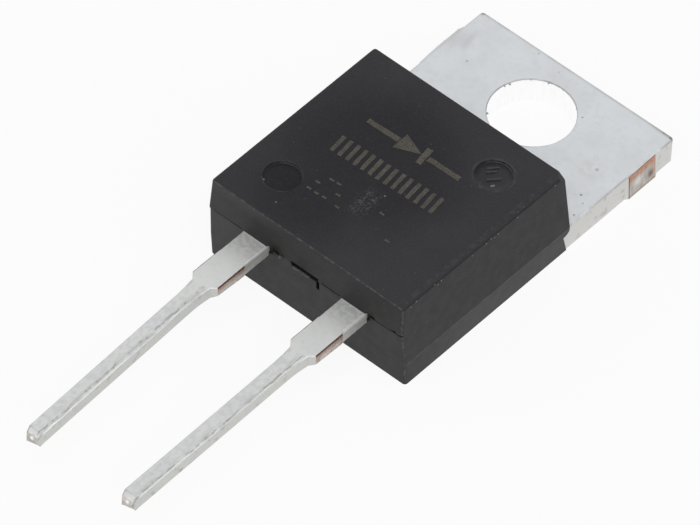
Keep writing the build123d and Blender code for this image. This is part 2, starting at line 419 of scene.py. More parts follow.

# Painted shade along a crease beside the left tie bar, where the strip bends down, a dull patch there, and a
# brown smear near the moulding.
crease_shade = tin.near(tin.reckon("ADD", tin.x, tin.reckon("MULTIPLY", tin.y, 0.143)), -4.185, 0.20)
crease_shade = tin.both(crease_shade, on_tab, tin.fade(tin.y, 0.40, 1.00), tin.fade(tin.y, 2.05, 1.40), 0.15)
tin.paint(crease_shade, (0.250, 0.240, 0.220))
dull_patch = tin.both(tin.spot((-4.75, 1.10, None), 0.80, 0.2), on_tab, 0.22)
tin.paint(dull_patch, (0.400, 0.405, 0.400))
smear = tin.both(
    tin.spot((3.70, -0.70, None), 0.90, 0.1), tin.fade(tin.patches(0.5, 4.0, shift=6.5), 0.40, 0.62),
    on_tab, 0.22,
)
tin.paint(smear, (0.400, 0.370, 0.330))
# Dark spots: the first three are painted shade at the tab's far corners, the rest are pits in the tin.
for x, y, reach, share in (
    (4.93, 2.75, 0.13, 0.5), (-4.93, 2.74, 0.12, 0.5), (4.55, 2.78, 0.10, 0.3),
    (-3.70, 0.34, 0.070, 0.4), (1.64, 1.18, 0.050, 0.7), (4.28, -2.01, 0.075, 0.6),
    (4.76, -3.01, 0.060, 0.6), (3.87, -0.56, 0.110, 0.35), (-1.87, 2.62, 0.055, 0.4),
    (4.62, -2.30, 0.050, 0.5), (-0.62, 2.40, 0.040, 0.4),
):
    spot = tin.both(
        tin.spot((x, y, None), reach, 0.5), tin.fade(tin.z, tab_top - 0.29, tab_top - 0.14), on_tab,
    )
    tin.paint(tin.both(spot, share), (0.090, 0.085, 0.075))
pits = tin.specks(0.9, 0.040, 0.20)
tin.paint(tin.both(pits, 0.5), (0.260, 0.260, 0.235))

# The leads have a dull olive patch next to the moulding, mottled blades and dull tips, and a stain along the
# right edge of each.
# A dark line along each blade is painted shadow, dark lines at its rounded edges are painted shade, and a
# bright line beside them is a painted highlight, as are the bright lines on the roots and where the leads
# meet the moulding.
past_shoulder = tin.fade(tin.y, shoulder_end + 0.11, shoulder_end - 0.14)
before_shoulder = tin.rest(past_shoulder)
root_reach = tin.reckon("ADD", tin.y, tin.wobble(1.5, 0.45, shift=3.0))
root_stain = tin.both(
    on_leads, tin.fade(root_reach, body_front - 1.48, body_front - 0.48), tin.fade(tin.z, 2.2, 2.3),
)
root_mottle = tin.fade(tin.patches(0.20, 3.0, shift=11.0), 0.40, 0.60, 0.20, 0.75)
tin.paint(tin.both(root_stain, root_mottle, 0.70), (0.385, 0.392, 0.345))
streaks = tin.fade(tin.patches(0.22, 4.0, stretch=(1, 4.5, 1), shift=1.0), 0.47, 0.60)
gaps = tin.fade(tin.patches(0.5, 3.0, stretch=(1, 2.0, 1), shift=5.0), 0.42, 0.54)
at_tip = tin.both(tin.fade(tin.y, tip_end + 0.36, tip_end + 0.24), tin.fade(tin.facing_up, 0.25, 0.55))
before_tip = tin.rest(tin.fade(tin.y, tip_end + 0.54, tip_end + 0.34))
tin.paint(tin.both(at_tip, 0.40), (0.380, 0.378, 0.360))
handled_blade = tin.both(
    tin.fade(tin.patches(0.17, 4.0, stretch=(1, 1.4, 1), shift=8.0), 0.42, 0.62),
    past_shoulder, tin.fade(tin.facing_up, 0.3, 0.6), on_leads, 0.34,
)
tin.paint(handled_blade, (0.455, 0.450, 0.480))
line_wobble = tin.wobble(0.22, 0.40, 4.0, shift=12.0)
breaks = tin.fade(tin.patches(0.30, 3.0, shift=15.0), 0.44, 0.56, 0.15, 1.0)
painted_highlights = 0.0
for middle, yaw, inner_line in (
    (-lead_middle, cathode_lead_yaw, 0.190), (lead_middle, anode_lead_yaw, 0.270),
):
    across = across_lead(tin, middle, yaw)
    stain = tin.both(tin.fade(across, 0.00, 0.20), tin.fade(across, 0.36, 0.30), past_shoulder, streaks)
    tin.paint(tin.both(stain, 0.40), (0.400, 0.405, 0.355))
    # Painted shadow in a dark line along the blade, and painted shade at its rounded edges.
    line_place = tin.reckon("ADD", across, line_wobble)
    line = tin.both(tin.near(line_place, inner_line, 0.065), past_shoulder, breaks)
    tin.paint(tin.both(line, 0.55), (0.210, 0.213, 0.180))
    outer_line = tin.both(
        tin.near(across, 0.345, 0.030), past_shoulder, gaps, tin.fade(tin.facing_up, 0.5, 0.7),
    )
    tin.paint(tin.both(outer_line, 0.35), (0.260, 0.263, 0.225))
    left_line = tin.both(tin.near(across, -0.340, 0.035), past_shoulder, gaps)
    tin.paint(tin.both(left_line, 0.30), (0.300, 0.305, 0.280))
    tip_corners = tin.both(tin.near(tin.reckon("ABSOLUTE", across), 0.330, 0.110), at_tip, 0.55)
    tin.paint(tip_corners, (0.240, 0.235, 0.225))
    # Painted highlights along the blade's right edge, on the root's right edge, and where the leads meet the
    # moulding.
    blade_highlight = tin.both(tin.near(across, 0.310, 0.035), past_shoulder, gaps, 0.60, before_tip)
    root_highlight = tin.both(
        tin.near(across, 0.585, 0.075), before_shoulder,
        tin.fade(tin.y, body_front - 1.33, body_front - 1.18), 0.75,
    )
    painted_highlights = tin.most(blade_highlight, tin.both(root_highlight, tin.fade(tin.z, 2.86, 2.91)), painted_highlights)
junction_highlight = tin.both(tin.near(tin.y, body_front - 0.04, 0.05), tin.fade(tin.z, 2.90, 2.96), 0.3)
painted_highlights = tin.both(tin.most(painted_highlights, junction_highlight), on_leads)
tin.paint(painted_highlights, (0.860, 0.865, 0.855))
tin.set(
    Base_Color=tin.colour,
    Metallic=tin.fade(root_stain, 0.0, 1.0, 0.80, 0.35),
    Roughness=tin.fade(tin.reckon("SUBTRACT", tin.patches(0.3, 3.0), painted_highlights), -0.5, 0.7, 0.28, 0.52),
)
tin.relief(tin.patches(0.09, 3.0, shift=2.0), 0.006, 0.45)

bore = Finish("punched_bore")
scores = bore.fade(bore.patches(0.12, 3.0, stretch=(1, 1, 8)), 0.35, 0.70)
bore.set(
    Base_Color=bore.tint(scores, (0.995, 0.995, 0.995), (0.975, 0.975, 0.972)),
    Metallic=1.0, Roughness=bore.fade(scores, 0.0, 1.0, 0.05, 0.12),
)


def bare_copper(name, bottom, height, copper_from, softness, copper, smear):
    """A sheared cut: torn copper at the top, and tin and copper smeared down below it."""
    cut = Finish(name)
    cut.level = cut.reckon("DIVIDE", cut.reckon("SUBTRACT", cut.z, bottom), height)
    border = cut.reckon("ADD", cut.level, cut.wobble(0.45, 0.35))
    torn = cut.fade(border, copper_from - softness, copper_from + softness)
    streaks = cut.fade(cut.patches(0.12, 3.0, stretch=(1, 1, 3)), 0.38, 0.68)
    smeared = cut.tint(cut.both(streaks, 0.45), smear, tuple(0.5 * part for part in smear))
    bare = cut.tint(cut.both(streaks, 0.35), copper, tuple(0.5 * part for part in copper))
    cut.colour = cut.tint(torn, smeared, bare)
    return cut


tie_bar_cut = bare_copper(
    "sheared_tie_bar", bottom=0.0, height=tab_top, copper_from=0.68, softness=0.08,
    copper=(0.520, 0.280, 0.190), smear=(0.520, 0.485, 0.445),
)
# A painted highlight on the smeared lower part of the cut.
tie_bar_highlight = tie_bar_cut.spot((None, 0.58, 0.62), 0.36, 0.1)
tie_bar_cut.paint(tie_bar_cut.both(tie_bar_highlight, 0.75), (0.720, 0.710, 0.685))
dark_tear = tie_bar_cut.spot((None, 1.36, 0.44), 0.32, 0.1)
tie_bar_cut.paint(tie_bar_cut.both(dark_tear, 0.85), (0.150, 0.085, 0.080))
near_end = tie_bar_cut.fade(tie_bar_cut.y, 0.07, 0.03)
far_end = tie_bar_cut.fade(tie_bar_cut.y, 1.57, 1.62)
foot = tie_bar_cut.fade(tie_bar_cut.level, 0.14, 0.02)
top_line = tie_bar_cut.fade(tie_bar_cut.level, 0.955, 0.975)
tie_bar_cut.paint(tie_bar_cut.both(far_end, 0.7), (0.560, 0.250, 0.150))
tie_bar_cut.paint(tie_bar_cut.both(foot, 0.6), (0.300, 0.180, 0.130))
tie_bar_cut.paint(tie_bar_cut.most(near_end, top_line), (0.100, 0.060, 0.042))
tie_bar_cut.set(Base_Color=tie_bar_cut.colour, Metallic=0.80, Roughness=0.42)
tie_bar_cut.relief(tie_bar_cut.patches(0.12, 3.0), 0.03, 0.6)

dam_bar_cut = bare_copper(
    "sheared_dam_bar", bottom=lead_underside, height=lead_thickness, copper_from=0.58, softness=0.22,
    copper=(0.430, 0.310, 0.260), smear=(0.600, 0.555, 0.510),
)
right_lead = dam_bar_cut.fade(dam_bar_cut.x, -1.0, 1.0)
torn_patches = dam_bar_cut.fade(dam_bar_cut.patches(0.20, 3.0, stretch=(1, 1, 2), shift=4.0), 0.42, 0.60)
dam_bar_cut.paint(dam_bar_cut.both(right_lead, torn_patches, 0.6), (0.300, 0.205, 0.170))
dam_bar_cut.paint(dam_bar_cut.fade(dam_bar_cut.level, 0.82, 0.92), (0.145, 0.085, 0.065))
dam_bar_cut.set(Base_Color=dam_bar_cut.colour, Metallic=0.75, Roughness=0.45)
dam_bar_cut.relief(dam_bar_cut.patches(0.10, 3.0, stretch=(1, 1, 2)), 0.02, 0.6)

tip_cut = bare_copper(
    "sheared_tip", bottom=2.02, height=0.62, copper_from=0.95, softness=0.12,
    copper=(0.590, 0.570, 0.550), smear=(0.560, 0.540, 0.510),
)
# Painted highlights where the top edge of each tip rolls over.
tip_highlight = tip_cut.most(
    tip_cut.spot((-2.30, -26.80, 2.43), 0.13, 0.2), tip_cut.spot((2.63, -26.80, 2.64), 0.13, 0.2),
)
tip_cut.paint(tip_highlight, (0.940, 0.930, 0.900))
tip_roughness = tip_cut.fade(tip_highlight, 0.0, 1.0, 0.45, 0.30)
tip_cut.set(Base_Color=tip_cut.colour, Metallic=0.75, Roughness=tip_roughness)
tip_cut.relief(tip_cut.patches(0.10, 3.0), 0.02, 0.6)

frame_piece = merged_copy("cathode_frame", "stamped_frame", (tin, tie_bar_cut, dam_bar_cut, tip_cut, bore))

# The left tie bar tore off at a slant, so its remains are a low wedge, and it bent the strip down beside it.
open_mesh(frame_piece, "VERT")
move_points(frame_piece, lambda at: at.x < -stub_face and at.y < 0.1, lambda at: (0.052, -0.05, 0))
move_points(frame_piece, lambda at: at.x < -stub_face and at.y > 1.6, lambda at: (0.030, -0.30, 0))
move_points(frame_piece, lambda at: at.x < -4.94 and -0.13 < at.y < -0.08, lambda at: (0, -0.90, 0))
move_points(frame_piece, lambda at: at.x < -4.94 and 1.80 < at.y < 1.88, lambda at: (0, -0.16, 0))

# The right one is sheared straight off, but its upper edge drew in and its far edge is a little short.
move_points(
    frame_piece, lambda at: at.x > stub_face and at.y < 0.1 and at.z > tab_top - 0.04,
    lambda at: (-0.080, -0.01, 0),
)
move_points(
    frame_piece, lambda at: at.x > stub_face and at.y > 1.6 and at.z > tab_top - 0.04,
    lambda at: (-0.115, -0.05, 0),
)
move_points(frame_piece, lambda at: at.x > stub_face and at.y > 1.6 and at.z < 0.1, lambda at: (0, -0.085, 0))
bpy.ops.object.mode_set(mode="OBJECT")
bpy.ops.mesh.primitive_uv_sphere_add(
    segments=64, ring_count=32, location=(-4.86 * mm, 1.15 * mm, (tab_top + 0.07) * mm),
    scale=(0.60, 0.95, 0.105), radius=mm,
)
work(frame_piece, new_piece(tin), "DIFFERENCE")
tear_face(
    frame_piece, lambda at, normal: at.x > stub_face - 0.04 and at.y > 0.2 and normal.x > 0.9,
    tie_bar_cut, cuts=16, unevenness=0.014, seed=2,
)
tear_face(
    frame_piece, lambda at, normal: at.x < -stub_face + 0.04 and normal.x < -0.9,
    tie_bar_cut, cuts=8, unevenness=0.012, seed=12,
)


def ease_shoulder(piece, middle, lift):
    """Rounds a lead where its shoulder narrows to the blade, and lifts the lower edge that was pushed in."""
    open_mesh(piece)
    for below in (0.09, 0.44, 0.94):
        bpy.ops.mesh.select_all(action="SELECT")
        bpy.ops.mesh.bisect(plane_co=(0, (shoulder_end - below) * mm, 0), plane_no=(0, 1, 0))
    bpy.ops.mesh.select_all(action="DESELECT")
    for below, reach, outwards, forwards in (
        (0, 0.03, 0.085, 0.140), (0.09, 0.01, 0.050, 0), (0.44, 0.01, 0.018, 0),
    ):
        y = shoulder_end - below
        move_points(
            piece, lambda at: abs(at.y - y) < reach and 0.25 < abs(at.x - middle) < 0.50 and at.z > 2.2,
            lambda at: (math.copysign(outwards, at.x - middle), forwards, 0),
        )
    move_points(
        piece,
        lambda at: abs(at.y - dam_bar_end + 0.01) < 0.05 and abs(at.x - middle) > 0.60 and 2.3 < at.z < 2.5,
        lambda at: (0, 0, lift),
    )
    bpy.ops.object.mode_set(mode="OBJECT")


def tear_dam_bars(piece, middle, seed):
    """The two sheared faces of a lead where its dam bar was, the left one with a ragged rim."""
    def in_reach(at):
        return dam_bar_end < at.y < dam_bar_start and at.z > 2.3

    tear_face(
        piece, lambda at, normal: in_reach(at) and at.x > middle + 0.60 and normal.x > 0.3,
        dam_bar_cut, cuts=9, unevenness=0.008, seed=seed,
    )
    tear_face(
        piece, lambda at, normal: in_reach(at) and at.x < middle - 0.60 and normal.x < -0.3,
        dam_bar_cut, cuts=9, unevenness=0.007, seed=seed + 1, ragged=True,
    )


def shear_tip(piece, middle, mid_height, seed):
    """The sheared end of a lead, whose edges rolled in, least of all at its lower right corner."""
    open_mesh(piece)
    move_points(
        piece, lambda at: at.y < tip_end + 0.04 and at.x > middle + 0.05 and at.z < mid_height,
        lambda at: (0.100, 0.100, 0),
    )
    move_points(
        piece,
        lambda at: tip_end + 0.04 < at.y < tip_end + 0.14 and at.x > middle + 0.05 and at.z < mid_height,
        lambda at: (0.035, 0.020, 0),
    )
    bpy.ops.object.mode_set(mode="OBJECT")
    tear_face(
        piece, lambda at, normal: normal.y < -0.85 and at.y < tip_end + 0.07,
        tip_cut, cuts=3, unevenness=0.010, seed=seed,
    )
    open_mesh(piece)
    select_faces(piece, lambda at, normal: at.y < tip_end + 0.29)
    bpy.ops.mesh.subdivide(number_cuts=1)
    bpy.ops.mesh.select_less()
    bpy.ops.mesh.vertices_smooth(factor=0.5, repeat=8)
    bpy.ops.object.mode_set(mode="OBJECT")


ease_shoulder(frame_piece, -lead_middle, lift=0.12)
tear_dam_bars(frame_piece, -lead_middle, seed=3)
shear_tip(frame_piece, middle=-2.304, mid_height=2.255, seed=5)
open_mesh(frame_piece)
select_faces(
    frame_piece, lambda at, normal: math.hypot(at.x, at.y) < hole_radius + 0.01 and abs(normal.z) < 0.3,
)
lay_finish(frame_piece, bore)
bpy.ops.object.mode_set(mode="OBJECT")

# The hole is punched from above, which leaves a low ragged burr round its upper rim, with a few curls.
bpy.ops.mesh.primitive_torus_add(
    location=(0, 0, (tab_top - 0.006) * mm), major_radius=(hole_radius + 0.032) * mm, minor_radius=0.014 * mm,
    major_segments=140, minor_segments=6,
)
hole_burr = new_piece(tin)
open_mesh(hole_burr, "VERT")
bpy.ops.mesh.select_random(ratio=0.5, seed=5)
bpy.ops.transform.vertex_random(offset=0.014 * mm, seed=6)
bpy.ops.object.mode_set(mode="OBJECT")
for x, y, size, seed in (
    (-1.66, 0.60, 0.050, 51), (-1.73, 0.37, 0.035, 52), (-0.57, 1.69, 0.045, 53), (-1.28, -1.21, 0.045, 54),
    (0.10, 1.80, 0.030, 55), (-1.20, 1.34, 0.030, 56), (1.15, 1.38, 0.028, 57),
):
    bpy.ops.mesh.primitive_ico_sphere_add(
        subdivisions=2, radius=size * mm, location=(x * mm, y * mm, (tab_top - 0.045) * mm),
        scale=(1.0, 0.8, 1.1),
    )
    roughen(new_piece(tin), 0.4 * size, seed)
    hole_burr.select_set(True)
    bpy.context.view_layer.objects.active = hole_burr
    bpy.ops.object.join()
frame_piece.select_set(True)
bpy.context.view_layer.objects.active = frame_piece
bpy.ops.object.join()
even_shading(frame_piece)
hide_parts("cathode_frame")
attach(frame_piece, "root")


# The anode lead.
# A separate stamping from the thin strip, with the same tin and the same cuts. Its wide inner end, the bond
# post, is buried in the moulding, which is all that holds it.

anode_piece = merged_copy("anode_lead", "anode_lead_stamping", (tin, dam_bar_cut, tip_cut))
ease_shoulder(anode_piece, lead_middle, lift=0.08)
tear_dam_bars(anode_piece, lead_middle, seed=8)
shear_tip(anode_piece, middle=2.611, mid_height=2.461, seed=10)
even_shading(anode_piece)
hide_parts("anode_lead")
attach(anode_piece, "root")


# The chip.
# Silicon carbide, sawn square and polished, with a metal layer on top for the bond wires. Hidden in the
# moulding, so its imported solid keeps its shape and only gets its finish.


def dress(node, finish):
    """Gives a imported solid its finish."""
    for material_slot in frame["nodes"][node].material_slots:
        material_slot.material = finish.material


chip_x = 0.30
chip_y = -7.84
metal_reach = 0.78
chip = Finish("silicon_carbide")
top_metal = chip.fade(chip.facing_up, 0.8, 0.9)
inside_edge = chip.both(chip.near(chip.x, chip_x, metal_reach), chip.near(chip.y, chip_y, metal_reach))
pad_share = chip.both(top_metal, chip.fade(inside_edge, 0.0, 0.1))
sawn = chip.fade(chip.patches(0.03, 2.0, stretch=(1, 1, 6)), 0.3, 0.7)
chip.colour = chip.tint(sawn, (0.120, 0.140, 0.130), (0.180, 0.200, 0.190))
chip.paint(pad_share, (0.72, 0.72, 0.73))
chip.set(Base_Color=chip.colour, Metallic=pad_share, Roughness=0.22)
dress("silicon_carbide_die", chip)


# The solder under the chip.
# Lead-rich solder, melted between the chip and the die pad, dull grey with a slight grain.

solder = Finish("die_solder_metal")
grains = solder.fade(solder.patches(0.08, 2.0), 0.35, 0.65)
solder.set(
    Base_Color=solder.tint(grains, (0.40, 0.41, 0.43), (0.52, 0.53, 0.55)),
    Metallic=1.0, Roughness=solder.fade(grains, 0.0, 1.0, 0.38, 0.52),
)
dress("die_solder", solder)


# The bond wires.
# Two thick aluminium wires, pressed flat and ultrasonically welded at both ends, with fine drawing lines.

wire = Finish("drawn_aluminium")
lines = wire.fade(wire.patches(0.02, 2.0, stretch=(1, 20, 20)), 0.3, 0.7)
wire.set(
    Base_Color=wire.tint(lines, (0.74, 0.74, 0.75), (0.84, 0.84, 0.85)),
    Metallic=1.0, Roughness=wire.fade(lines, 0.0, 1.0, 0.22, 0.34),
)
dress("bond_wire_1", wire)
dress("bond_wire_2", wire)


# The moulding.
# Black silica-filled epoxy, moulded round everything inside it. The mould halves meet at a line that shows
# thin flash and a dark gap, and the filler and handling leave pale dust and worn edges.

marked_face = 4.53
right_mark = (2.909, -5.919)
left_mark = (-3.059, -11.614)
mark_shift = Vector((-0.075, 0.058, 0))
rib_half_width = 0.045
rib_foot = marked_face - 0.130
rib_top = marked_face - 0.055

epoxy = Finish("filled_epoxy")
top_face = epoxy.fade(epoxy.facing_up, 0.5, 0.9)
side_face = epoxy.rest(top_face)
front_face = epoxy.fade(epoxy.facing_y, -0.60, -0.85)
epoxy.colour = epoxy.tint(top_face, (0.0118, 0.0108, 0.0114), (0.0106, 0.0100, 0.0136))
cloud = epoxy.fade(epoxy.patches(2.4, 4.0), 0.40, 0.68)
cloud_share = epoxy.fade(top_face, 0.0, 1.0, 0.15, 0.40)
epoxy.paint(epoxy.both(cloud, cloud_share), (0.0195, 0.0190, 0.0200))
grain = epoxy.fade(epoxy.patches(0.07, 2.0, shift=4.0), 0.45, 0.75)
epoxy.paint(epoxy.both(grain, 0.30), (0.0300, 0.0290, 0.0300))
handled = epoxy.most(epoxy.spot((-1.0, -8.5, None), 5.0, 0.42), epoxy.spot((-1.6, -11.6, None), 3.6, 0.2))
handled = epoxy.both(handled, top_face)
epoxy.paint(epoxy.both(handled, 0.55), (0.0060, 0.0060, 0.0095))
# Painted light: the front face is lighter on its left and along its top.
front_left_light = epoxy.both(front_face, epoxy.fade(epoxy.x, -2.5, -4.5), 0.85)
epoxy.paint(front_left_light, (0.0290, 0.0275, 0.0280))
upper_front_light = epoxy.both(
    front_face, epoxy.fade(epoxy.z, marked_face - 0.63, marked_face - 0.08), epoxy.fade(epoxy.x, 0.5, -3.5),
    0.6,
)
epoxy.paint(upper_front_light, (0.0420, 0.0385, 0.0370))

# Below the parting line the sides are painted paler, as painted light, and the line itself is pale with flash
# dust and a painted highlight of the ledge there.
outer_side = epoxy.both(epoxy.fade(epoxy.reckon("ABSOLUTE", epoxy.x), 5.00, 5.04), side_face)
lower_band_light = epoxy.both(outer_side, epoxy.fade(epoxy.z, tab_top + 0.02, tab_top - 0.01))
band_share = epoxy.fade(epoxy.y, body_front - 0.08, -8.5, 0.25, 1.0)
epoxy.paint(epoxy.both(lower_band_light, band_share), (0.0480, 0.0462, 0.0465))
fluff = epoxy.fade(epoxy.patches(0.30, 4.0, shift=14.0), 0.40, 0.62)
parting_dust_and_light = epoxy.both(
    outer_side, epoxy.near(epoxy.z, tab_top - 0.005, 0.035), epoxy.fade(fluff, 0.0, 1.0, 0.35, 1.0),
)
epoxy.paint(epoxy.both(parting_dust_and_light, 0.70), (0.1100, 0.1060, 0.1040))

# The round marks: the left one is dark all over; in the right one a dark crescent is painted shadow of its
# upper-left wall and a light crescent is painted light on its lower-right wall, and the tops of its ribs are
# painted lighter.
in_left_mark = epoxy.both(epoxy.spot((*left_mark, None), 0.80), top_face)
epoxy.paint(epoxy.both(in_left_mark, 0.60), (0.0050, 0.0050, 0.0075))
below_face = epoxy.fade(epoxy.z, marked_face - 0.03, marked_face - 0.05)
in_right_mark = epoxy.both(epoxy.spot((*right_mark, None), 0.79), below_face)
crescent_shadow = epoxy.rest(epoxy.spot((3.045, -6.07, None), 0.82, 0.7))
crescent_light = epoxy.rest(epoxy.spot((2.785, -5.79, None), 0.82, 0.8))
epoxy.paint(epoxy.both(in_right_mark, crescent_shadow, 0.9), (0.0030, 0.0030, 0.0040))
epoxy.paint(epoxy.both(in_right_mark, crescent_light, 0.5), (0.0350, 0.0340, 0.0360))
rib_tops = epoxy.both(
    in_right_mark, epoxy.fade(epoxy.z, rib_top - 0.020, rib_top - 0.005),
    epoxy.fade(epoxy.z, rib_top + 0.015, rib_top + 0.005),
)
epoxy.paint(epoxy.both(rib_tops, 0.35), (0.0600, 0.0590, 0.0600))
ring = epoxy.both(
    epoxy.spot((*right_mark, None), 0.95, 0.9), epoxy.fade(epoxy.z, marked_face - 0.03, marked_face - 0.01),
    top_face, epoxy.fade(fluff, 0.0, 1.0, 0.3, 1.0), 0.6,
)
epoxy.paint(ring, (0.0480, 0.0465, 0.0500))

# Pale on the front's upper edge and the front right corner, partly wear and partly painted highlight on the
# edges that face the front; painted shade on the right edge's roll; dusty along the right edge.
rolled = epoxy.both(epoxy.fade(epoxy.facing_up, 0.99, 0.93), epoxy.fade(epoxy.facing_up, 0.25, 0.40))
fine_wear = epoxy.fade(epoxy.patches(0.18, 3.0, shift=9.0), 0.42, 0.62, 0.25, 1.0)
front_edge = epoxy.both(rolled, epoxy.fade(epoxy.facing_y, -0.10, -0.30))
towards_corner = epoxy.reckon("MINIMUM", epoxy.facing_x, epoxy.reckon("MULTIPLY", epoxy.facing_y, -1.0))
front_corner = epoxy.both(epoxy.fade(towards_corner, 0.25, 0.45), side_face)
wear_and_highlight = epoxy.both(epoxy.most(front_edge, front_corner), fine_wear, 0.80)
epoxy.paint(wear_and_highlight, (0.0700, 0.0680, 0.0680))
right_edge_shade = epoxy.both(rolled, epoxy.fade(epoxy.facing_x, 0.25, 0.45))
epoxy.paint(epoxy.both(right_edge_shade, 0.80), (0.0040, 0.0040, 0.0050))
dusty_strip = epoxy.both(epoxy.near(epoxy.x, 4.72, 0.16), top_face, fluff, 0.35)
epoxy.paint(dusty_strip, (0.0500, 0.0490, 0.0510))
edge_specks = epoxy.both(
    epoxy.specks(0.16, 0.035, 0.30), epoxy.near(epoxy.x, 4.93, 0.12), epoxy.fade(epoxy.z, 4.3, 4.4),
)
epoxy.paint(edge_specks, (0.3500, 0.3450, 0.3400))
front_specks = epoxy.both(epoxy.specks(0.20, 0.030, 0.20), front_edge)
pale_dust = (0.3000, 0.2950, 0.2900)
epoxy.paint(front_specks, pale_dust)

rounded = epoxy.nodes.new("ShaderNodeBevel")
rounded.samples = 6
rounded.inputs["Radius"].default_value = 0.06 * mm
flat = epoxy.nodes.new("ShaderNodeNewGeometry")
turned = epoxy.nodes.new("ShaderNodeVectorMath")
turned.operation = "DOT_PRODUCT"
epoxy.join(rounded.outputs[0], turned.inputs[0])
epoxy.join(flat.outputs["Normal"], turned.inputs[1])
sharp_edge = epoxy.both(epoxy.fade(turned.outputs["Value"], 0.985, 0.90), fine_wear, 0.40)
epoxy.paint(sharp_edge, (0.0600, 0.0580, 0.0580))

# Dust and scuffs.
dust = epoxy.specks(0.33, 0.042, 0.30)
epoxy.paint(epoxy.both(dust, 0.55), (0.0700, 0.0690, 0.0720))
bloom = epoxy.both(epoxy.fade(epoxy.patches(0.11, 3.0, shift=22.0), 0.50, 0.66), top_face, 0.22)
epoxy.paint(bloom, (0.0290, 0.0290, 0.0330))
flecks = epoxy.specks(0.95, 0.032, 0.08)
epoxy.paint(epoxy.both(flecks, 0.9), pale_dust)
for x, y, reach in (
    (-3.55, -12.18, 0.075), (3.16, -6.35, 0.075), (3.21, -6.28, 0.075), (-2.35, -12.80, 0.050),
    (0.53, -9.66, 0.060),
):
    fleck = epoxy.both(epoxy.spot((x, y, None), reach, 0.1), top_face, 0.6)
    epoxy.paint(fleck, (0.3200, 0.3150, 0.3150))
scuff_area = epoxy.both(epoxy.near(epoxy.x, 0.16, 0.62), epoxy.near(epoxy.y, -10.42, 0.98), top_face)
scuffs = epoxy.fade(epoxy.patches(0.07, 4.0, stretch=(1, 1.8, 1), shift=6.0), 0.45, 0.68)
haze = epoxy.fade(epoxy.patches(0.35, 4.0, shift=20.0), 0.35, 0.60, 0.35, 1.0)
epoxy.paint(epoxy.both(scuff_area, scuffs, haze, 0.95), (0.0800, 0.0790, 0.0900))

# Painted shade round the pockets beside the leads.
pocket_shade = epoxy.most(
    epoxy.spot((-1.50, None, 3.06), 0.62, 0.15),
    epoxy.both(epoxy.spot((3.42, None, 3.00), 0.36, 0.10), 0.7),
    epoxy.both(epoxy.spot((-0.10, None, 3.12), 0.85, 0.10), 0.5),
)
pocket_shade = epoxy.both(pocket_shade, front_face, epoxy.fade(epoxy.patches(0.25, 4.0, shift=17.0), 0.30, 0.65, 0.5, 1.0))
epoxy.paint(pocket_shade, (0.0050, 0.0040, 0.0028))
olive = epoxy.both(epoxy.spot((3.55, None, 3.45), 0.60, 0.1), front_face, fluff, 0.5)
epoxy.paint(olive, (0.0330, 0.0320, 0.0230))

gloss = 0.34
for share, loss in ((handled, 0.105), (pocket_shade, 0.20), (side_face, 0.025), (in_left_mark, 0.045)):
    gloss = epoxy.reckon("SUBTRACT", gloss, epoxy.both(share, loss))
epoxy.set(
    Base_Color=epoxy.colour, Roughness=epoxy.fade(epoxy.patches(0.5, 3.0), 0.3, 0.7, 0.55, 0.61),
    Specular_IOR_Level=gloss,
)
epoxy.relief(epoxy.patches(0.06, 3.0, shift=8.0), 0.012, 0.5)

gap = Finish("parting_gap")
gap.set(
    Base_Color=gap.tint(gap.patches(0.10), (0.0080, 0.0078, 0.0070), (0.0200, 0.0190, 0.0165)),
    Roughness=0.8, Specular_IOR_Level=0.22,
)
flash = Finish("mould_flash")
flash_grain = flash.fade(flash.patches(0.08, 3.0), 0.35, 0.65)
flash.set(
    Base_Color=flash.tint(flash_grain, (0.0600, 0.0580, 0.0570), (0.1400, 0.1360, 0.1330)),
    Roughness=0.6, Specular_IOR_Level=0.34,
)


def rough_bar(low, high, segments, unevenness, seed, finish):
    """A bar between two corners, in millimetres, uneven along its length as trimmed plastic is."""
    size = Vector(high) - Vector(low)
    middle = (Vector(high) + Vector(low)) / 2
    bpy.ops.mesh.primitive_cube_add(size=1, location=middle * mm, scale=size * mm)
    bar = new_piece(finish)
    lengthwise = max(range(3), key=lambda axis: size[axis])
    open_mesh(bar, "EDGE")
    select_edges(bar, lambda start, end: abs((end - start)[lengthwise]) > 0.9 * size[lengthwise])
    bpy.ops.mesh.subdivide(number_cuts=segments)
    bpy.ops.mesh.select_all(action="SELECT")
    bpy.ops.transform.vertex_random(offset=unevenness * mm, seed=seed)
    bpy.ops.object.mode_set(mode="OBJECT")
    return bar


moulding = merged_copy("moulded_body", "moulding", (epoxy, gap, flash))

# The two round mould marks sit a little to the left of, and further back than, the solid's.
open_mesh(moulding, "VERT")
for mark in (right_mark, left_mark):
    packed_place = Vector((*mark, 0)) - mark_shift
    move_points(
        moulding, lambda at: at.z > 4.3 and (at - packed_place).xy.length < 0.95, lambda at: mark_shift,
    )
bpy.ops.object.mode_set(mode="OBJECT")

